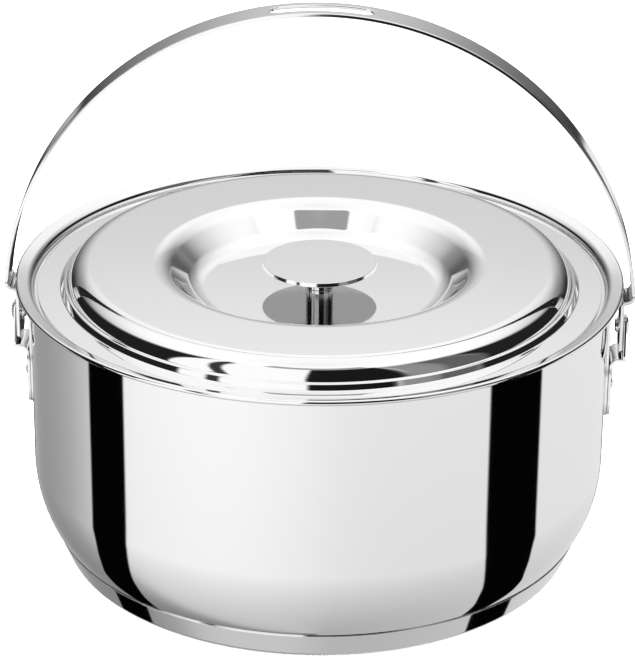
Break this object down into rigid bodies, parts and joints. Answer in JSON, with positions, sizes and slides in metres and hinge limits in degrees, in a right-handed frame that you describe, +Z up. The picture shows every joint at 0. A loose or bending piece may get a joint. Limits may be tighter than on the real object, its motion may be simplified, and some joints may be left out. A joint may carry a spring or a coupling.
{
  "type": "brew kettle",
  "caption": "Wide polished stainless kettle with a clad flat base, a drop-in lid with a round knob, and a hinged strap bail for carrying or hanging.",
  "frame": {"origin": "centre of the flat base, on the surface it stands on", "axes": "+Z up, +X along the bail's pivot axis, +Y away from the viewer"},
  "size_m": [0.3116, 0.3, 0.281],
  "materials": {
    "pot_steel": "mirror-polished stainless steel",
    "lid_steel": "mirror-polished stainless steel",
    "base_steel": "polished side, fine turned underside",
    "core_aluminium": "as rolled, hidden",
    "knob_steel": "satin top, polished post",
    "bail_steel": "polished strap with soft grain",
    "ear_steel": "polished pressed strip",
    "fastener_steel": "plain stainless fasteners"
  },
  "bodies": {
    "kettle": {"kettle_shell": "pot_steel", "rim_ring": "pot_steel", "base_core": "core_aluminium", "base_cap": "base_steel", "left_backing_plate": "ear_steel", "left_hook": "ear_steel", "left_hook_rivets": "fastener_steel", "left_pivot_rivet": "fastener_steel", "left_pivot_washer": "fastener_steel", "right_backing_plate": "ear_steel", "right_hook": "ear_steel", "right_hook_rivets": "fastener_steel", "right_pivot_rivet": "fastener_steel", "right_pivot_washer": "fastener_steel"},
    "bail": {"bail_strap": "bail_steel"},
    "lid": {"lid_shell": "lid_steel", "knob_disc": "knob_steel", "knob_post": "knob_steel", "knob_screw": "fastener_steel", "knob_washer": "fastener_steel", "knob_lock_washer": "fastener_steel"}
  },
  "joints": [
    {"name": "bail_swing", "type": "hinge", "parent": "kettle", "child": "bail", "pos_m": [0, 0, 0.1195], "axis": [1, 0, 0], "range_deg": [-105, 105]},
    {"name": "lid_lift", "type": "slide", "parent": "kettle", "child": "lid", "axis": [0, 0, 1], "range_m": [0, 0.036]}
  ]
}
